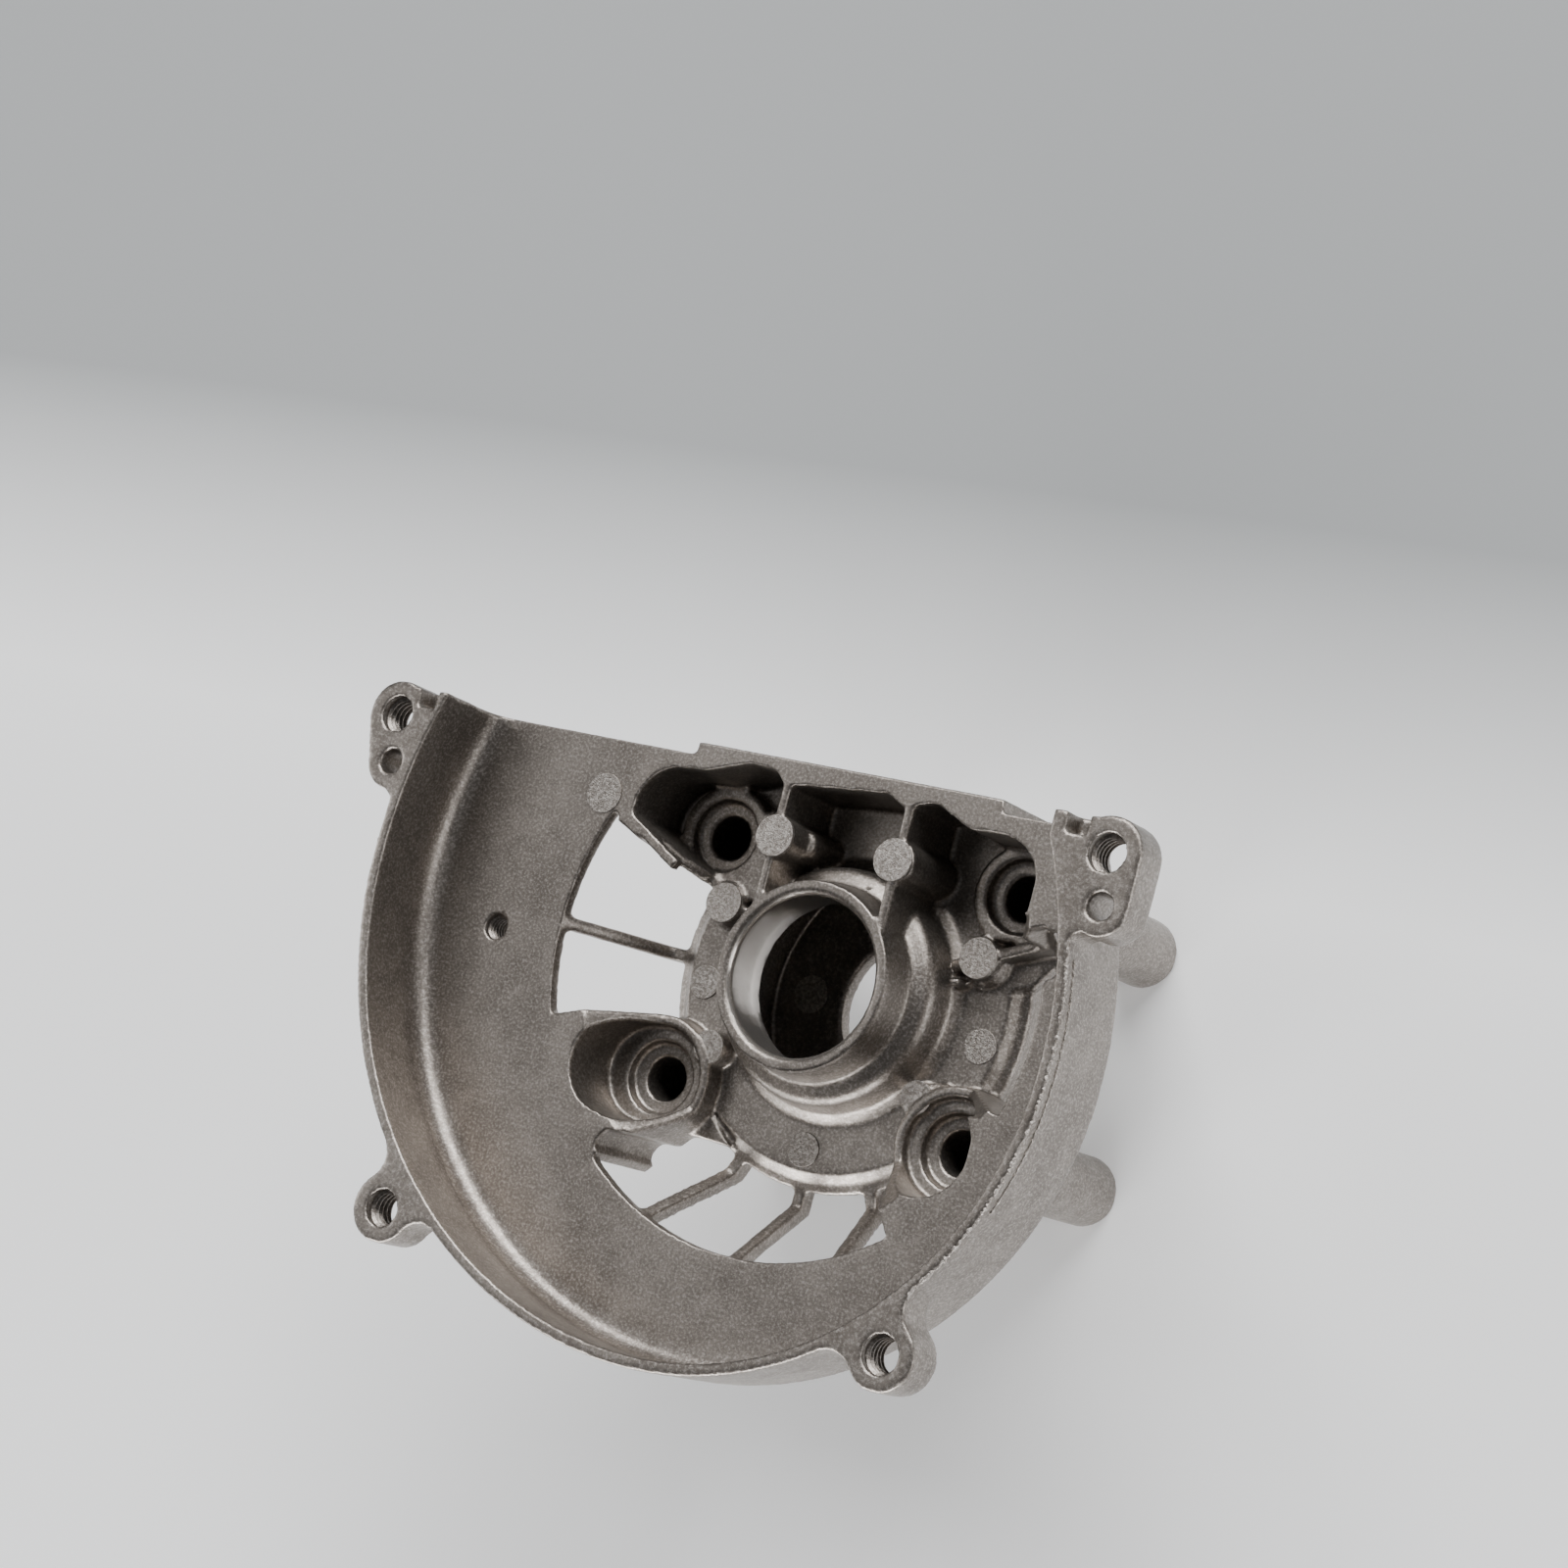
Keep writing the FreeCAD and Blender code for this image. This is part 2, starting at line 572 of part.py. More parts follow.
for name, x, y in (("LeftLugHole", "left_lug_x", "upper_lug_y"),
                   ("RightLugHole", "right_lug_x", "upper_lug_y"),
                   ("LowerLeftLugHole", "lower_left_lug_x", "lower_lug_y"),
                   ("LowerRightLugHole", "lower_right_lug_x", "lower_lug_y")):
    rim_hole(name, "Sizes.lug_hole_radius", "Sizes.lug_mouth_radius",
             f"Sizes.{x}", f"Sizes.{y}")
for name, x in (("LeftDowelHole", "left_dowel_x"), ("RightDowelHole", "right_dowel_x")):
    rim_hole(name, "Sizes.dowel_hole_radius", "Sizes.dowel_mouth_radius",
             f"Sizes.{x}", "Sizes.dowel_y")
boss = cylinder("FloorBoss", "Sizes.floor_boss_radius", "Sizes.floor_boss_length",
                "Sizes.floor_hole_x", "Sizes.floor_hole_y", "-Sizes.floor_boss_length")
holes.append(cylinder("FloorHole", "Sizes.floor_hole_radius", "Sizes.floor_boss_length + 2",
                      "Sizes.floor_hole_x", "Sizes.floor_hole_y",
                      "-Sizes.floor_boss_length - 1"))

# notches in the upper lugs
notches = []
for x in (size("left_lug_x") + 3.4, size("right_lug_x") - 7.0):
    notches.append(Part.makeBox(size("notch_width"), size("notch_depth") + 5,
                                size("notch_drop") + 1,
                                Vector(x, EDGE - size("notch_depth"), RIM - size("notch_drop"))))
notches = feature("Notches", notches[0].fuse(notches[1]))

# --- the casting -----------------------------------------------------------------------
doc.recompute()
solid = doc.addObject("Part::MultiFuse", "Metal")
solid.Shapes = [floor, inlet, ribs, body, boss] + pads + posts
tools = doc.addObject("Part::MultiFuse", "Removed")
tools.Shapes = [feature("Hollow", core), notches] + holes
housing = doc.addObject("Part::Cut", "Housing")
housing.Base = solid
housing.Tool = tools
housing.Refine = True
housing.Label = "housing"
doc.recompute()

# --- check and write --------------------------------------------------------------------
for obj in doc.Objects:
    if any(word in obj.State for word in ("Invalid", "Error")):
        raise RuntimeError(f"{obj.Label} failed to build")
if housing.Shape.isNull() or not housing.Shape.isValid() or len(housing.Shape.Solids) != 1:
    raise RuntimeError("housing is not one valid solid")
os.makedirs("parts", exist_ok=True)
housing.Shape.exportStep(f"parts/{housing.Label}.step")
box = housing.Shape.BoundBox
print("housing", round(box.XLength, 1), round(box.YLength, 1), round(box.ZLength, 1),
      "volume cm3", round(housing.Shape.Volume / 1000, 1))
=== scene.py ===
"""Looks of the die-cast fan housing: casting, pads, flash, threads and stage."""
import json
import math
import random

import bmesh
import bpy
import numpy as np
from mathutils import Matrix, Vector


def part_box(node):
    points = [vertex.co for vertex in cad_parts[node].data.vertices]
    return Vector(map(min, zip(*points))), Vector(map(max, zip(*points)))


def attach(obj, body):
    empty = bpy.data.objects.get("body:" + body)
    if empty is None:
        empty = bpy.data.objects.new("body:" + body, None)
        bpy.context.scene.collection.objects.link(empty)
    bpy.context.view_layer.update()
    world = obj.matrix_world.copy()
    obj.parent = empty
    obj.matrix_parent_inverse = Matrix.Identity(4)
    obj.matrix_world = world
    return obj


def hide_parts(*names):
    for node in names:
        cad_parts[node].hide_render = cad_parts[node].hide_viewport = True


bl_info = {
    "name": "Die-cast fan housing",
    "version": (1, 0, 0),
    "blender": (4, 5, 0),
    "location": "3D View > Sidebar > Housing",
    "description": "Dresses the packed housing as a real aluminium casting",
    "category": "Object",
}

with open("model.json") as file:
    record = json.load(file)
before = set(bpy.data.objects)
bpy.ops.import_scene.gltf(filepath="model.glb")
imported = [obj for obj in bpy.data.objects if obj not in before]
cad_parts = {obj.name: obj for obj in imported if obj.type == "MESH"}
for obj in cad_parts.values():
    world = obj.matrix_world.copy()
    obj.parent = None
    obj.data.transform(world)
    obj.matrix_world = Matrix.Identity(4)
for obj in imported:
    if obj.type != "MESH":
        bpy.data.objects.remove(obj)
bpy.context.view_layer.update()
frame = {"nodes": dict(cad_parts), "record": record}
MM = 0.001
BODY = "root"
NODE = "housing"
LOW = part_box(NODE)[0]
MOUNTS = {m["name"]: m for m in frame["record"]["mounts"]}


# --- sizes and colours that a user may change -----------------------------
def length(name, text, value, least=0.0):
    """A length property in metres."""
    return bpy.props.FloatProperty(name=name, description=text, default=value,
                                   min=least, precision=5, unit="LENGTH")


def factor(name, text, value, most=1.0):
    """A plain number property."""
    return bpy.props.FloatProperty(name=name, description=text, default=value,
                                   min=0.0, max=most)


def colour(name, text, value):
    """A colour property."""
    return bpy.props.FloatVectorProperty(name=name, description=text, default=value,
                                         size=3, min=0.0, max=1.0, subtype="COLOR")


class CastingProps(bpy.types.PropertyGroup):
    voxel: length("Voxel", "Grain of the remesh that rounds the cast edges", 0.38 * MM)
    rounding: bpy.props.IntProperty(name="Rounding", default=5, min=0, max=30,
                                    description="Passes of smoothing on the cast edges")
    waviness: length("Waviness", "Unevenness of the cast skin", 0.05 * MM)
    triangles: bpy.props.IntProperty(name="Triangles", default=192000, min=1000,
                                     description="Most triangles in the finished casting")


class ThreadProps(bpy.types.PropertyGroup):
    pitch: length("Pitch", "Pitch of the lug threads", 1.0 * MM)
    depth: length("Depth", "Depth of the lug threads", 0.45 * MM)
    small_pitch: length("Small pitch", "Pitch of the floor thread", 0.7 * MM)
    small_depth: length("Small depth", "Depth of the floor thread", 0.32 * MM)


class PadProps(bpy.types.PropertyGroup):
    raised: length("Raised", "Height of the pads over the skin", 0.22 * MM)
    edge: length("Edge", "Rounding of the pads' edges", 0.06 * MM)


class FlashProps(bpy.types.PropertyGroup):
    height: length("Height", "How far the ragged edge stands out", 0.34 * MM)


class FinishProps(bpy.types.PropertyGroup):
    metal: colour("Metal", "Colour of the bare cast metal", (0.250, 0.224, 0.200))
    stain: colour("Stain", "Colour of the dark skin left by the die", (0.094, 0.080, 0.069))
    bright: colour("Bright", "Colour of cut and worn metal", (0.60, 0.562, 0.525))
    roughness: factor("Roughness", "Roughness of the cast skin", 0.39)


class StageProps(bpy.types.PropertyGroup):
    floor: colour("Floor", "Colour of the pale floor", (0.96, 0.965, 0.97))
    # shade is painted shade: the darker floor colour beyond the outlet stands in for light
    # that falls off there
    shade: colour("Shade", "Colour of the floor behind the outlet", (0.31, 0.32, 0.325))
    world: factor("World", "Strength of the light all round", 0.12, 10.0)


# the machined seat in the bore: radii and levels of its mask, in millimetres
SEAT_INSIDE, SEAT_OUTSIDE = 11.6, 12.9
SEAT_BOTTOM, SEAT_TOP = -10.9, -0.4
# where the painted shade on the stage floor begins along y, and over what length it darkens,
# in millimetres
SHADE_FROM, SHADE_OVER = 60.0, 60.0


# --- shader maths ---------------------------------------------------------
class Sock:
    """A value or an output socket that takes part in Python expressions."""

    def __init__(self, tree, value):
        self.tree, self.value = tree, value

    def math(self, operation, *others):
        node = self.tree.nodes.new("ShaderNodeMath")
        node.operation = operation
        for i, item in enumerate((self,) + others):
            item = item.value if isinstance(item, Sock) else item
            if isinstance(item, bpy.types.NodeSocket):
                self.tree.links.new(item, node.inputs[i])
            else:
                node.inputs[i].default_value = item
        return Sock(self.tree, node.outputs[0])

    def __add__(self, o): return self.math("ADD", o)
    def __radd__(self, o): return self.math("ADD", o)
    def __sub__(self, o): return self.math("SUBTRACT", o)
    def __rsub__(self, o): return Sock(self.tree, o).math("SUBTRACT", self)
    def __mul__(self, o): return self.math("MULTIPLY", o)
    def __rmul__(self, o): return self.math("MULTIPLY", o)
    def __truediv__(self, o): return self.math("DIVIDE", o)
    def __pow__(self, o): return self.math("POWER", o)

    def least(self, o): return self.math("MINIMUM", o)
    def most(self, o): return self.math("MAXIMUM", o)
    def above(self, edge, soft):
        """0 below edge, 1 above it, over a soft step."""
        return ((self - (edge - soft / 2)) / soft).least(1.0).most(0.0)


class Shader:
    """A material and its one node-making method."""

    def __init__(self, name):
        self.material = bpy.data.materials.new(name)
        self.material.use_nodes = True
        self.tree = self.material.node_tree
        self.tree.nodes.clear()

    def node(self, kind, settings=None, out=0, **sockets):
        """A node of that kind; sockets go by name, or by number as i0, i1."""
        made = self.tree.nodes.new("ShaderNode" + kind)
        for key, value in (settings or {}).items():
            setattr(made, key, value)
        for key, value in sockets.items():
            target = made.inputs[int(key[1:]) if key[0] == "i" and key[1:].isdigit()
                                 else key.replace("_", " ")]
            value = value.value if isinstance(value, Sock) else value
            if isinstance(value, bpy.types.NodeSocket):
                self.tree.links.new(value, target)
            else:
                target.default_value = value
        return Sock(self.tree, made.outputs[out]) if made.outputs else None

    def mix(self, amount, first, second):
        """A colour between first and second."""
        return self.node("Mix", {"data_type": "RGBA"}, out=2, Factor=amount,
                         i6=rgba(first), i7=rgba(second))

    def place(self):
        """Object coordinates in millimetres, as a vector."""
        spot = self.node("TexCoord", out=3)
        return self.node("VectorMath", {"operation": "SCALE"}, i0=spot, Scale=1000.0)

    def axes(self, where):
        """The x, y and z parts of a vector."""
        split = self.node("SeparateXYZ", Vector=where).value.node
        return [Sock(self.tree, part) for part in split.outputs]

    def noise(self, where, scale, detail=3.0, rough=0.5, twist=0.0):
        """Noise whose grain is 1 / scale millimetres."""
        return self.node("TexNoise", Vector=where, Scale=scale, Detail=detail,
                         Roughness=rough, Distortion=twist)


def rgba(value):
    """A colour with alpha, or the socket unchanged."""
    return value if isinstance(value, Sock) else (*value, 1.0)


def cast_finish(props):
    """Die-cast aluminium: dull mottled skin, pale grains, machined bore."""
    s = Shader("die_cast_aluminium")
    at = s.place()
    x, y, z = s.axes(at)
    radius = (x * x + y * y) ** 0.5
    clouds = s.noise(at, 0.05, 4.0, 0.6, 0.4)
    spots = s.noise(at, 0.30, 5.0, 0.65)
    grain = s.noise(at, 2.3, 3.0, 0.75)
    pits = s.noise(at, 5.0, 2.0, 0.6)
    # mask of the machined seat: the wall of the bore near the face of the hub
    seat = (radius.above(SEAT_INSIDE, 0.1) * (1.0 - radius.above(SEAT_OUTSIDE, 0.1))
            * z.above(SEAT_BOTTOM, 0.2))
    seat = seat * (1.0 - z.above(SEAT_TOP, 0.3))
    stain = (clouds * 0.6 + spots * 0.4).above(0.52, 0.20)
    skin = s.mix(stain * 0.55, props.metal, props.stain)
    skin = s.mix(grain.above(0.57, 0.14) * 0.42, skin, props.bright)
    skin = s.mix((1.0 - grain).above(0.60, 0.14) * 0.45, skin, props.stain)
    skin = s.mix(seat, skin, props.bright)
    rough = props.roughness + (spots - 0.5) * 0.22 + (grain - 0.5) * 0.20
    rough = rough * (1.0 - seat) + seat * 0.20
    turned = s.node("TexWave", {"wave_type": "BANDS", "bands_direction": "Z"},
                    out=1, Vector=at, Scale=2.2, Distortion=0.3)
    height = grain * 0.7 + pits * 0.35 + spots * 0.5
    height = height * (1.0 - seat) + turned * seat * 0.10
    bump = s.node("Bump", Strength=0.6, Distance=0.00008, Height=height)
    surface = s.node("BsdfPrincipled", Base_Color=skin, Metallic=0.9,
                     Roughness=rough, Normal=bump)
    s.node("OutputMaterial", Surface=surface)
    return s.material


def pad_finish(props):
    """The ends of ejector pins: paler, coarse and sparkling."""
    s = Shader("pin_marked_aluminium")
    at = s.place()
    grain = s.noise(at, 1.9, 4.0, 0.75)
    fine = s.noise(at, 4.4, 2.0, 0.6)
    skin = s.mix(grain.above(0.52, 0.20) * 0.8, props.metal, props.bright)
    skin = s.mix((1.0 - fine).above(0.60, 0.12) * 0.35, skin, props.stain)
    bump = s.node("Bump", Strength=0.9, Distance=0.00016, Height=grain + fine * 0.5)
    surface = s.node("BsdfPrincipled", Base_Color=skin, Metallic=0.85,
                     Roughness=0.46 + (fine - 0.5) * 0.2, Normal=bump)
    s.node("OutputMaterial", Surface=surface)
    return s.material


def floor_with_painted_shade(props):
    """Pale matt floor with painted shade: its colour falls off to the shade colour beyond
    the outlet.
    """
    s = Shader("floor_paint")
    y = s.axes(s.place())[1]
    # painted shade: the floor turns from its pale colour to the shade colour along y, in
    # place of light falling off
    skin = s.mix(y.above(SHADE_FROM, SHADE_OVER), props.floor, props.shade)
    surface = s.node("BsdfPrincipled", Base_Color=skin, Roughness=0.75)
    s.node("OutputMaterial", Surface=surface)
    return s.material


# --- mesh helpers ---------------------------------------------------------
def piece(name, bm, material, smooth=True):
    """An object at the origin, made from a bmesh, which is used up."""
    mesh = bpy.data.meshes.new(name)
    bm.to_mesh(mesh)
    bm.free()
    for polygon in mesh.polygons:
        polygon.use_smooth = smooth
    obj = bpy.data.objects.new(name, mesh)
    bpy.context.scene.collection.objects.link(obj)
    mesh.materials.append(material)
    return obj


def with_modifiers(obj, *modifiers):
    """The object's mesh after a stack of (type, settings)."""
    for kind, settings in modifiers:
        modifier = obj.modifiers.new(kind.title(), kind)
        for key, value in settings.items():
            setattr(modifier, key, value)
    shown = obj.evaluated_get(bpy.context.evaluated_depsgraph_get())
    mesh = bpy.data.meshes.new_from_object(shown)
    obj.modifiers.clear()
    old, obj.data = obj.data, mesh
    bpy.data.meshes.remove(old)
    return mesh


def roughen(mesh, depth):
    """Move the skin in and out by a smooth noise."""
    count = len(mesh.vertices)
    spots = np.empty(count * 3)
    normals = np.empty(count * 3)
    mesh.vertices.foreach_get("co", spots)
    mesh.vertex_normals.foreach_get("vector", normals)
    spots = spots.reshape(-1, 3)
    waves = np.zeros(count)
    for turn, pitch in ((0.0, 9.0), (1.3, 5.3), (2.1, 3.1), (4.0, 2.2)):
        across = Vector((math.cos(turn), math.sin(turn), 0.6 * math.cos(3 * turn)))
        beside = Vector((-math.sin(turn), 0.5, math.cos(turn)))
        step = math.tau / (pitch * MM)
        waves += np.sin(spots @ np.array(across) * step + turn) * np.sin(
            spots @ np.array(beside) * step * 0.83)
    spots += normals.reshape(-1, 3) * (waves * depth / 4)[:, None]
    mesh.vertices.foreach_set("co", spots.ravel())
    mesh.update()


def cylinder(bm, radius, bottom, top, x, y, segments):
    """A closed cylinder between two levels, in metres."""
    where = Matrix.Translation((x, y, (bottom + top) / 2))
    bmesh.ops.create_cone(bm, cap_ends=True, segments=segments, radius1=radius,
                          radius2=radius, depth=top - bottom, matrix=where)


def tapped_holes():
    """Each tapped hole as (x, y, top, length, radius)."""
    holes = []
    for mount in MOUNTS.values():
        if mount["kind"] == "threaded_hole":
            px, py, pz = mount["pos_m"]
            dims = mount["dims"]
            holes.append((px, py, pz, dims["length_mm"] * MM, dims["r_mm"] * MM))
    return holes


def thread_sizes(radius, props):
    """(pitch, depth) of the thread in a hole of that radius."""
    if radius > 2.0 * MM:
        return props.pitch, props.depth
    return props.small_pitch, props.small_depth


def in_order(bm):
    """Give corners and faces one fixed order, which Blender's operators don't.

    A cap also starts at a fixed corner, because where it starts decides how it is
    split into triangles.
    """
    bm.verts.sort(key=lambda corner: corner.co.dot(UNEVEN))
    for cap in [face for face in bm.faces if len(face.verts) > 4]:
        ring = list(cap.verts)
        first = ring.index(min(ring, key=lambda corner: corner.co.dot(UNEVEN)))
        bm.faces.remove(cap)
        bm.faces.new(ring[first:] + ring[:first])
    bm.faces.sort(key=lambda face: face.calc_center_median().dot(UNEVEN))


def loop_of(bm, ring):
    """The edges that join a ring of corners, closed."""
    return [bm.edges.new(pair) for pair in zip(ring, ring[1:] + ring[:1])]


def pushed(corners, push):
    """A closed prism: a flat ring of corners pushed along a vector, in millimetres."""
    bm = bmesh.new()
    face = bm.faces.new([bm.verts.new([c * MM for c in corner]) for corner in corners])
    made = bmesh.ops.extrude_face_region(bm, geom=[face])
    far = [v for v in made["geom"] if isinstance(v, bmesh.types.BMVert)]
    bmesh.ops.translate(bm, verts=far, vec=[c * MM for c in push])
    return bm


def slab(points, bottom, top):
    """A closed prism on an outline in millimetres."""
    return pushed([(x, y, bottom) for x, y in points], (0, 0, top - bottom))


def post(x, y, radius, bottom, top):
    """A closed cylinder with sizes in millimetres."""
    bm = bmesh.new()
    cylinder(bm, radius * MM, bottom * MM, top * MM, x * MM, y * MM, 48)
    return bm


def bar(start, end, width, bottom):
    """A straight rib from (x, y, top) to (x, y, top), in millimetres."""
    ax, ay, az = start
    bx, by, bz = end
    span = math.hypot(bx - ax, by - ay)
    sx, sy = -(by - ay) / span * width / 2, (bx - ax) / span * width / 2
    bm = slab([(ax - sx, ay - sy), (bx - sx, by - sy), (bx + sx, by + sy),
               (ax + sx, ay + sy)], bottom, 0.0)
    for vert in bm.verts:
        if vert.co.z > -0.01 * MM:
            near = (Vector((ax, ay)) - Vector(vert.co.xy) / MM).length < width
            vert.co.z = (az if near else bz) * MM
    return bm


def spoke(degrees, width, tall):
    """A spoke that runs level from the web, then rises to the fan floor."""
    outline = ((28.0, SPOKE_LOW), (32.4, SPOKE_LOW), (42.6, SPOKE_HIGH),
               (44.0, SPOKE_HIGH), (44.0, SPOKE_HIGH - tall * 0.6),
               (33.4, SPOKE_LOW - tall), (28.0, SPOKE_LOW - tall))
    bm = pushed([(r, -width / 2, z) for r, z in outline], (0, width, 0))
    bmesh.ops.rotate(bm, verts=bm.verts, cent=(0, 0, 0),
                     matrix=Matrix.Rotation(math.radians(degrees), 3, "Z"))
    return bm


# a direction along which no two corners or faces of a piece lie equally far
UNEVEN = Vector((1.0, 0.6180, 0.2718))
# levels of a spoke's top at the web and at the fan floor, in millimetres
SPOKE_LOW, SPOKE_HIGH = -15.9, -1.3
# degrees round the bore of the spokes
SPOKES = (180.0, -112.5, -90.0, -67.5)
# level that stalks, ribs and seats start from, inside the metal of the web
IN_WEB = -14.4
# ends of ejector pins: x, y, radius, level of the face; the first six stand on stalks
PADS = ((-10.25, 19.25, 3.15, 0.0), (10.25, 19.25, 3.15, 0.0), (-22.3, 8.85, 3.05, -10.2),
        (22.3, 8.85, 3.05, -10.2), (-18.2, -12.85, 2.55, -10.1), (18.2, -12.85, 2.55, -10.1),
        (-24.2, -3.3, 2.6, -14.0), (24.2, -3.3, 2.6, -14.0), (0.0, -24.1, 2.6, -14.0),
        (-41.7, 20.4, 3.1, 0.0), (-18.0, -0.2, 3.0, -35.0))
STALKS = 6


def added_metal():
    """Forms that join the casting: spokes, nubs, ribs, a seat and a mended floor."""
    shapes = [
        # the floor beside the lower-left well, and the wall between it and the window
        slab([(-40.6, -13.9), (-45.0, -13.5), (-45.0, -24.0), (-37.0, -33.0),
              (-28.4, -31.6), (-26.9, -31.2), (-26.7, -29.6), (-25.3, -28.2),
              (-26.6, -27.0), (-31.4, -26.4), (-34.5, -23.2), (-35.8, -19.5),
              (-35.4, -15.6)], -2.2, 0.0),
        slab([(-25.8, -26.6), (-23.3, -27.0), (-18.6, -26.3), (-12.4, -26.6),
              (-16.5, -23.0), (-24.0, -23.6)], -16.4, -13.9),
        # the flat seat between the upper-left screw and the hub
        slab([(-25.0, 12.4), (-20.0, 11.4), (-17.0, 8.8), (-14.6, 12.0), (-12.0, 15.5),
              (-12.2, 22.5), (-19.4, 24.6), (-17.0, 19.0), (-20.0, 13.4)], IN_WEB, -11.2),
        # the rib beyond the right pad and the slope that it runs into
        bar((24.4, 9.7, -10.6), (34.0, 13.2, -8.4), 1.7, IN_WEB),
        bar((36.6, 14.4, -2.0), (34.2, 12.4, -8.4), 3.6, -11.5),
        slab([(34.0, 13.4), (36.3, 14.2), (38.7, 13.8), (39.6, 12.5), (40.7, 13.6),
              (39.0, 15.7), (35.0, 16.2), (34.0, 15.0)], -2.2, 0.0),
        bar((17.8, 7.0, -10.9), (20.0, 7.9, -10.7), 1.8, -14.2),
        post(22.3, 8.85, 3.7, IN_WEB, -12.7),
        post(-8.4, 19.5, 2.3, -14.2, -5.0), post(20.8, -11.4, 1.5, -14.2, -10.6)]
    shapes += [spoke(degrees, 2.05, 3.3) for degrees in SPOKES]
    shapes += [post(x, y, radius - 0.05, IN_WEB, level - 0.05)
               for x, y, radius, level in PADS[:STALKS]]
    return shapes


def cut_away():
    """Forms that are cut out of the casting."""
    return [
        # inside the lower-left window
        slab([(-25.4, -28.6), (-26.5, -29.8), (-26.8, -31.2), (-26.0, -32.6),
              (-24.0, -34.0), (-19.0, -35.8), (-17.0, -29.0), (-21.0, -28.4)], -18.5, 0.5),
        # round the right pad, out to the scoop in the floor's edge
        slab([(19.6, 2.0), (30.5, 3.0), (38.6, 7.2), (40.6, 8.6), (40.3, 12.6),
              (38.6, 14.3), (35.6, 14.6), (34.2, 13.4), (33.0, 12.2), (27.5, 12.3),
              (21.6, 12.0), (18.9, 8.0), (20.3, 5.2)], -13.9, 0.5),
        # round the left pad, where the pocket's wall has come down to its level
        post(-22.3, 8.85, 4.9, -10.7, 0.5),
        slab([(-26.4, 12.0), (-21.0, 12.4), (-16.8, 8.6), (-18.1, 4.4), (-22.0, 3.4),
              (-27.0, 6.0)], -10.7, 0.5)]


def combined(obj, shapes, operation):
    """Join or cut an object's mesh with closed solids, one after another."""
    for bm in shapes:
        bmesh.ops.recalc_face_normals(bm, faces=bm.faces)
        tool = piece("tool", bm, obj.data.materials[0])
        with_modifiers(obj, ("BOOLEAN", {"object": tool, "operation": operation,
                                         "solver": "EXACT"}))
        bpy.data.objects.remove(tool)


class HOUSING_OT_casting(bpy.types.Operator):
    """Round the edges of the casting and give it an uneven skin"""
    bl_idname = "housing.casting"
    bl_label = "Casting"

    def execute(self, context):
        props = context.scene.housing_casting
        cad = frame["nodes"][NODE]
        bm = bmesh.new()
        bm.from_mesh(cad.data)
        bmesh.ops.remove_doubles(bm, verts=bm.verts, dist=1e-6)
        finish = cast_finish(context.scene.housing_finish)
        casting = piece("casting", bm, finish)
        combined(casting, cut_away(), "DIFFERENCE")
        combined(casting, added_metal(), "UNION")
        # the tapped holes are opened to the root of their threads
        bores = []
        for x, y, top, deep, radius in tapped_holes():
            depth = thread_sizes(radius, context.scene.housing_threads)[1]
            bm = bmesh.new()
            cylinder(bm, radius + depth, top - deep - 1 * MM, top + 0.1 * MM, x, y, 40)
            bores.append(bm)
        combined(casting, bores, "DIFFERENCE")
        with_modifiers(
            casting, ("REMESH", {"mode": "VOXEL", "voxel_size": props.voxel}),
            ("SMOOTH", {"factor": 0.5, "iterations": props.rounding}))
        roughen(casting.data, props.waviness)
        count = sum(len(p.vertices) - 2 for p in casting.data.polygons)
        with_modifiers(casting, ("DECIMATE", {"ratio": min(1.0, props.triangles / count)}))
        for polygon in casting.data.polygons:
            polygon.use_smooth = True
        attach(casting, BODY)
        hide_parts(NODE)
        return {"FINISHED"}


PAD_DEEP = 0.6 * MM


class HOUSING_OT_pads(bpy.types.Operator):
    """Set the crisp round faces left by the ejector pins"""
    bl_idname = "housing.pads"
    bl_label = "Ejector pads"

    def execute(self, context):
        props = context.scene.housing_pads
        bm = bmesh.new()
        for x, y, radius, level in PADS:
            disc = bmesh.ops.create_cone(
                bm, cap_ends=True, segments=56, radius1=radius * MM, radius2=radius * MM,
                depth=PAD_DEEP, matrix=Matrix.Translation(
                    (x * MM, y * MM, level * MM - PAD_DEEP / 2 + props.raised)))
            rim = [e for v in disc["verts"] for e in v.link_edges
                   if len(e.link_faces) == 2 and e.calc_face_angle() > 1.0
                   and v.co.z > level * MM]
            # a dict keeps each edge once and in order
            bmesh.ops.bevel(bm, geom=list(dict.fromkeys(rim)), offset=props.edge, segments=2,
                            profile=0.5, affect="EDGES", material=-1)
        in_order(bm)
        pads = piece("ejector_pads", bm, pad_finish(context.scene.housing_finish), False)
        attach(pads, BODY)
        return {"FINISHED"}


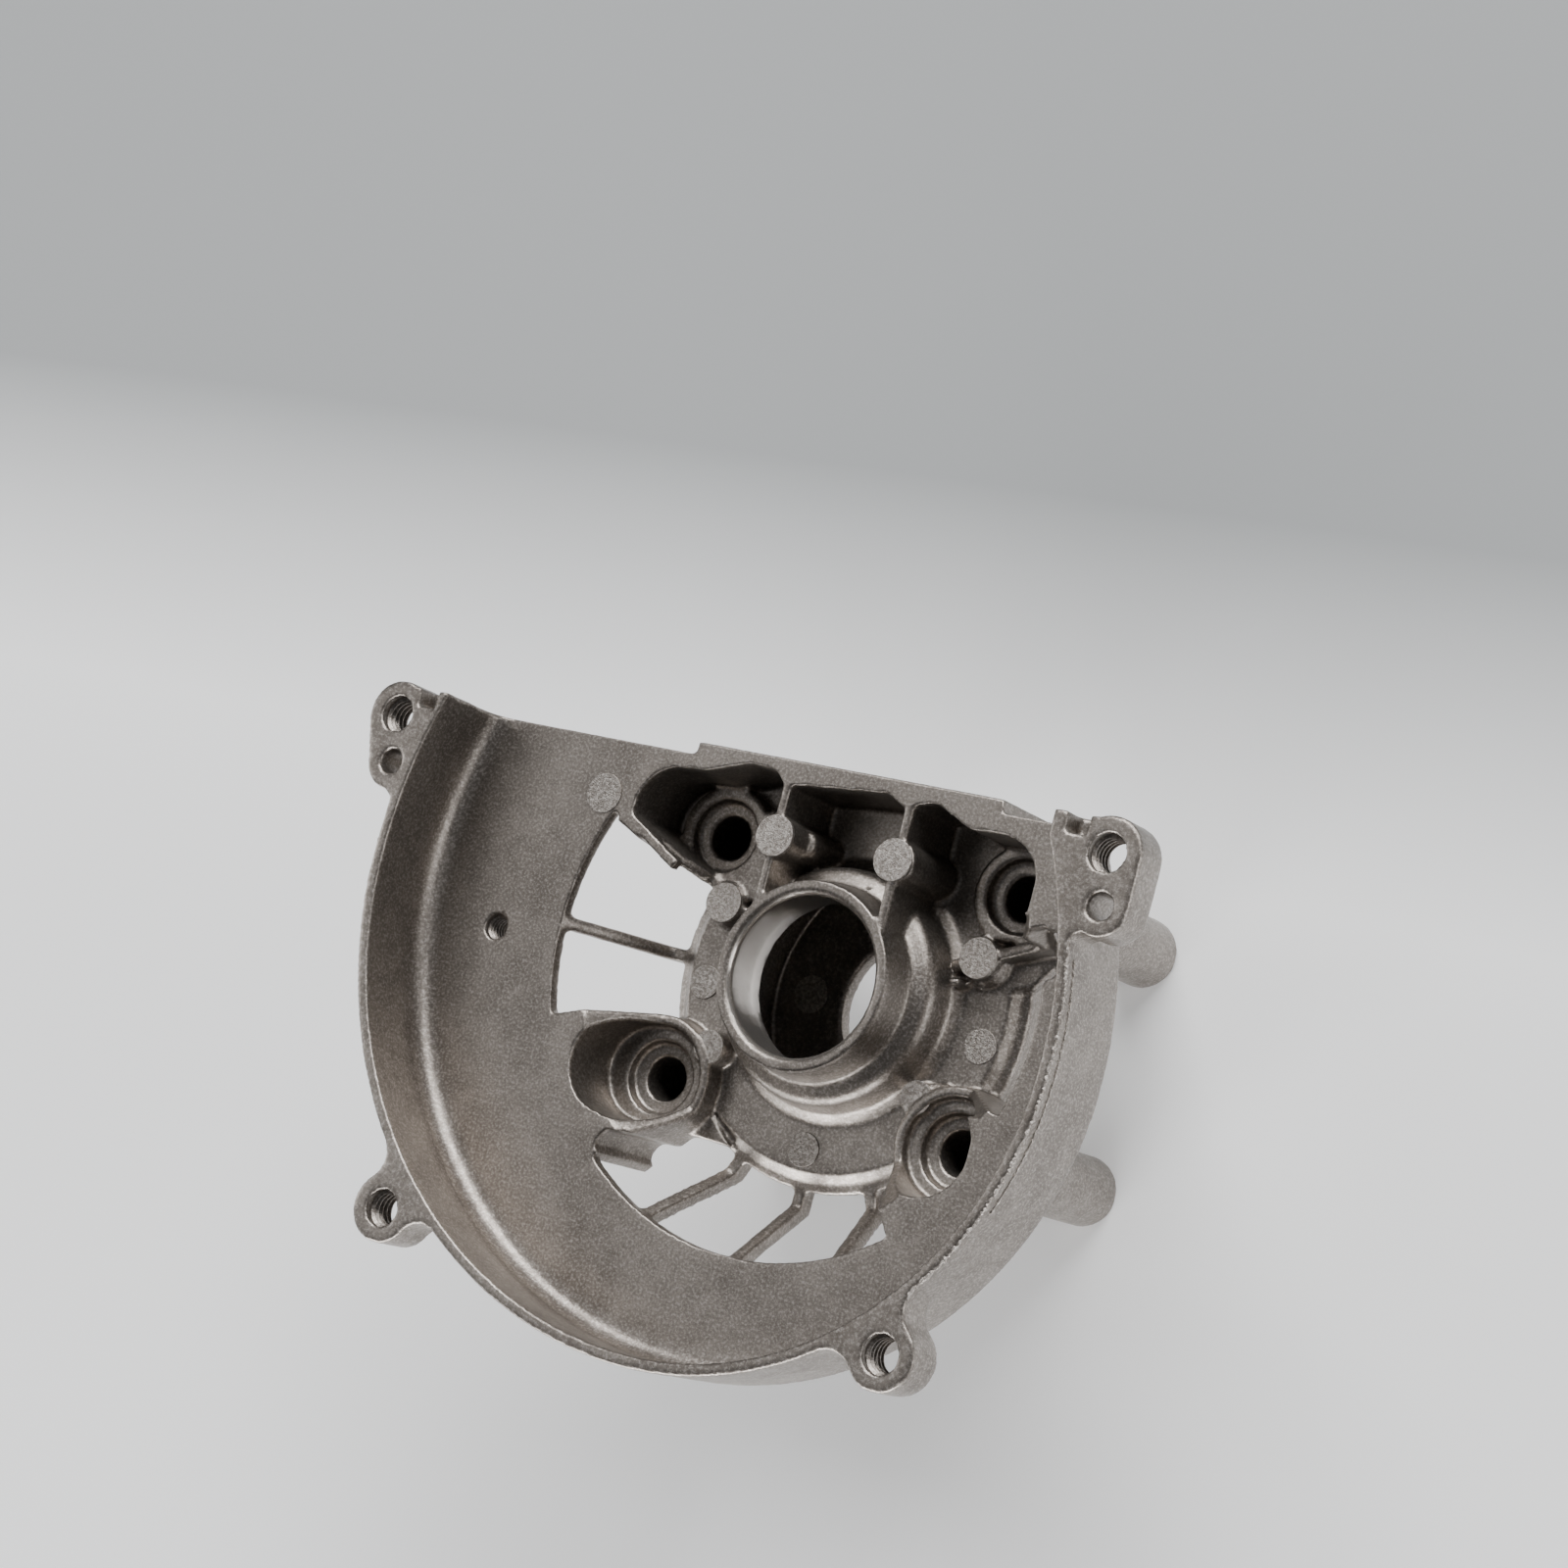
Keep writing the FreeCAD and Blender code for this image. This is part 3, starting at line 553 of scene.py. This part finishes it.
class HOUSING_OT_flash(bpy.types.Operator):
    """Leave a ragged sheared edge along the right-hand side of the rim"""
    bl_idname = "housing.flash"
    bl_label = "Parting flash"

    def execute(self, context):
        props = context.scene.housing_flash
        casting = bpy.data.objects["casting"]
        bm = bmesh.new()
        for first, last, level, seed in FLASH:
            draw = random.Random(seed)
            ring = None
            steps = int(abs(last - first) / FLASH_STEP)
            for step in range(steps):
                turn = math.radians(first + (last - first) * step / (steps - 1))
                out = Vector((math.cos(turn), math.sin(turn), 0.0))
                height = level * MM + draw.uniform(-0.10, 0.10) * MM
                hit, spot, _, _ = casting.ray_cast(
                    out * OUTSIDE + Vector((0, 0, height)), -out)
                if not hit:
                    raise RuntimeError("the flash found no wall")
                size = props.height * draw.uniform(0.25, 1.0)
                if step in (0, steps - 1):
                    size *= 0.1
                lift = Vector((0, 0, size * draw.uniform(0.4, 0.8)))
                back = spot - out * FLASH_SUNK
                places = [back - lift, spot + out * size - lift * 0.3,
                          spot + out * size * 0.6 + lift, back + lift]
                if ring is None:
                    ring = [bm.verts.new(place) for place in places]
                    edges = loop_of(bm, ring)
                    bm.faces.new(ring)
                    continue
                made = bmesh.ops.extrude_edge_only(bm, edges=edges)["geom"]
                moved = [v for v in made if isinstance(v, bmesh.types.BMVert)]
                # each new corner still stands on the old one that it came from
                ring = [min(moved, key=lambda v: (v.co - corner.co).length)
                        for corner in ring]
                for vert, place in zip(ring, places):
                    vert.co = place
                edges = [e for e in made if isinstance(e, bmesh.types.BMEdge)
                         and all(v in moved for v in e.verts)]
            bm.faces.new(ring)
        bmesh.ops.recalc_face_normals(bm, faces=bm.faces)
        in_order(bm)
        flash = piece("parting_flash", bm, pad_finish(context.scene.housing_finish), False)
        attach(flash, BODY)
        return {"FINISHED"}


# ragged edges: first and last angle, level in millimetres, seed
FLASH = ((14.0, -47.0, 14.75, 11), (11.0, -30.0, 12.9, 5))
FLASH_STEP = 0.35           # degrees between the rings of a ragged edge
FLASH_SUNK = 0.25 * MM      # how far it reaches into the wall
OUTSIDE = 0.12              # a distance from the axis that clears the casting


THREAD_SUNK = 0.08 * MM     # how far a thread reaches into the wall of its hole
THREAD_LEAD = 0.2 * MM      # plain length above the first turn
CREST, FOOT = 0.08, 0.46    # half widths of a thread, as shares of its pitch
TURN_STEPS = 28             # faces in each turn


class HOUSING_OT_threads(bpy.types.Operator):
    """Cut screw threads in the tapped holes"""
    bl_idname = "housing.threads"
    bl_label = "Threads"

    def execute(self, context):
        props = context.scene.housing_threads
        bm = bmesh.new()
        for x, y, top, deep, radius in tapped_holes():
            pitch, depth = thread_sizes(radius, props)
            root = radius + depth + THREAD_SUNK
            turns = int((deep - pitch) / pitch)
            start = top - THREAD_LEAD - turns * pitch - pitch
            profile = ((root, -FOOT), (radius, -CREST), (radius, CREST), (root, FOOT))
            ring = [bm.verts.new((x + r, y, start + pitch * h)) for r, h in profile]
            edges = loop_of(bm, ring)
            made = bmesh.ops.spin(bm, geom=ring + edges, cent=(x, y, 0), axis=(0, 0, 1),
                                  dvec=(0, 0, pitch / TURN_STEPS),
                                  angle=math.tau * turns, steps=TURN_STEPS * turns,
                                  use_duplicate=False)
            bm.faces.new(ring)
            bmesh.ops.contextual_create(
                bm, geom=[e for e in made["geom_last"] if isinstance(e, bmesh.types.BMEdge)])
        bmesh.ops.recalc_face_normals(bm, faces=bm.faces)
        in_order(bm)
        threads = piece("threads", bm, bpy.data.materials["die_cast_aluminium"], False)
        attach(threads, BODY)
        return {"FINISHED"}


class HOUSING_OT_stage(bpy.types.Operator):
    """Set up the pale floor, the soft lights and the camera"""
    bl_idname = "housing.stage"
    bl_label = "Stage"

    def execute(self, context):
        props = context.scene.housing_stage
        bm = bmesh.new()
        bmesh.ops.create_grid(bm, x_segments=8, y_segments=8, size=3.0,
                              matrix=Matrix.Translation((0, 0, LOW[2])))
        floor = piece("floor", bm, floor_with_painted_shade(props))
        world = bpy.data.worlds.new("studio")
        world.use_nodes = True
        ground = world.node_tree.nodes["Background"]
        ground.inputs[0].default_value = (0.93, 0.95, 1.0, 1.0)
        ground.inputs[1].default_value = props.world
        context.scene.world = world
        # camera: right, up and back directions, and place
        camera = bpy.data.cameras.new("camera")
        camera.sensor_width = 36.0
        camera.lens = CAMERA_LENS
        camera.clip_start = 0.01
        eye = bpy.data.objects.new("camera", camera)
        turn = Matrix((CAMERA_RIGHT, CAMERA_UP, CAMERA_BACK)).transposed()
        eye.matrix_world = Matrix.Translation(CAMERA_PLACE) @ turn.to_4x4()
        context.scene.collection.objects.link(eye)
        context.scene.camera = eye
        for name, spot, wide, tall, power in LIGHTS:
            data = bpy.data.lights.new(name, "AREA")
            data.shape = "RECTANGLE"
            data.size, data.size_y = wide, tall
            data.energy = power
            lamp = bpy.data.objects.new(name, data)
            lamp.location = spot
            lamp.rotation_euler = Vector(spot).to_track_quat("Z", "Y").to_euler()
            context.scene.collection.objects.link(lamp)
        return {"FINISHED"}


CAMERA_LENS = 78.75
CAMERA_RIGHT = (0.83427, 0.25610, -0.48826)
CAMERA_UP = (-0.16263, 0.96048, 0.22591)
CAMERA_BACK = (0.52682, -0.10907, 0.84295)
CAMERA_PLACE = (0.25601, -0.02823, 0.42723)
# lights: name, place, width, height, watts
LIGHTS = (
    ("overhead", (0.05, 0.95, 0.70), 1.2, 0.45, 24.0),
    ("front", (-0.60, 0.10, 0.95), 0.7, 0.7, 1.6),
    ("right_side", (1.00, 0.00, 0.06), 0.4, 1.0, 6.5),
    ("below", (-0.15, -1.00, 0.12), 1.4, 0.25, 27.0),
    ("left_side", (-1.00, 0.00, 0.15), 0.3, 0.9, 4.0),
)


class HOUSING_PT_panel(bpy.types.Panel):
    """Lists the steps that dress the housing"""
    bl_label = "Housing"
    bl_idname = "HOUSING_PT_panel"
    bl_space_type = "VIEW_3D"
    bl_region_type = "UI"
    bl_category = "Housing"

    def draw(self, context):
        for group in GROUPS:
            box = self.layout.box()
            box.label(text=group.replace("_", " ").capitalize())
            settings = getattr(context.scene, "housing_" + group)
            for key in settings.bl_rna.properties.keys():
                if key not in ("rna_type", "name"):
                    box.prop(settings, key)
        for step in STEPS:
            self.layout.operator(step.bl_idname)


GROUPS = {"casting": CastingProps, "threads": ThreadProps, "pads": PadProps,
          "flash": FlashProps, "finish": FinishProps, "stage": StageProps}
STEPS = (HOUSING_OT_casting, HOUSING_OT_pads, HOUSING_OT_flash, HOUSING_OT_threads,
         HOUSING_OT_stage)
CLASSES = tuple(GROUPS.values()) + STEPS + (HOUSING_PT_panel,)


def register():
    for cls in CLASSES:
        bpy.utils.register_class(cls)
    for name, cls in GROUPS.items():
        setattr(bpy.types.Scene, "housing_" + name, bpy.props.PointerProperty(type=cls))


def unregister():
    for name in GROUPS:
        delattr(bpy.types.Scene, "housing_" + name)
    for cls in reversed(CLASSES):
        bpy.utils.unregister_class(cls)


def main():
    register()
    bpy.ops.housing.stage()
    bpy.ops.housing.casting()
    bpy.ops.housing.pads()
    bpy.ops.housing.flash()
    bpy.ops.housing.threads()


if __name__ == "__main__":
    main()
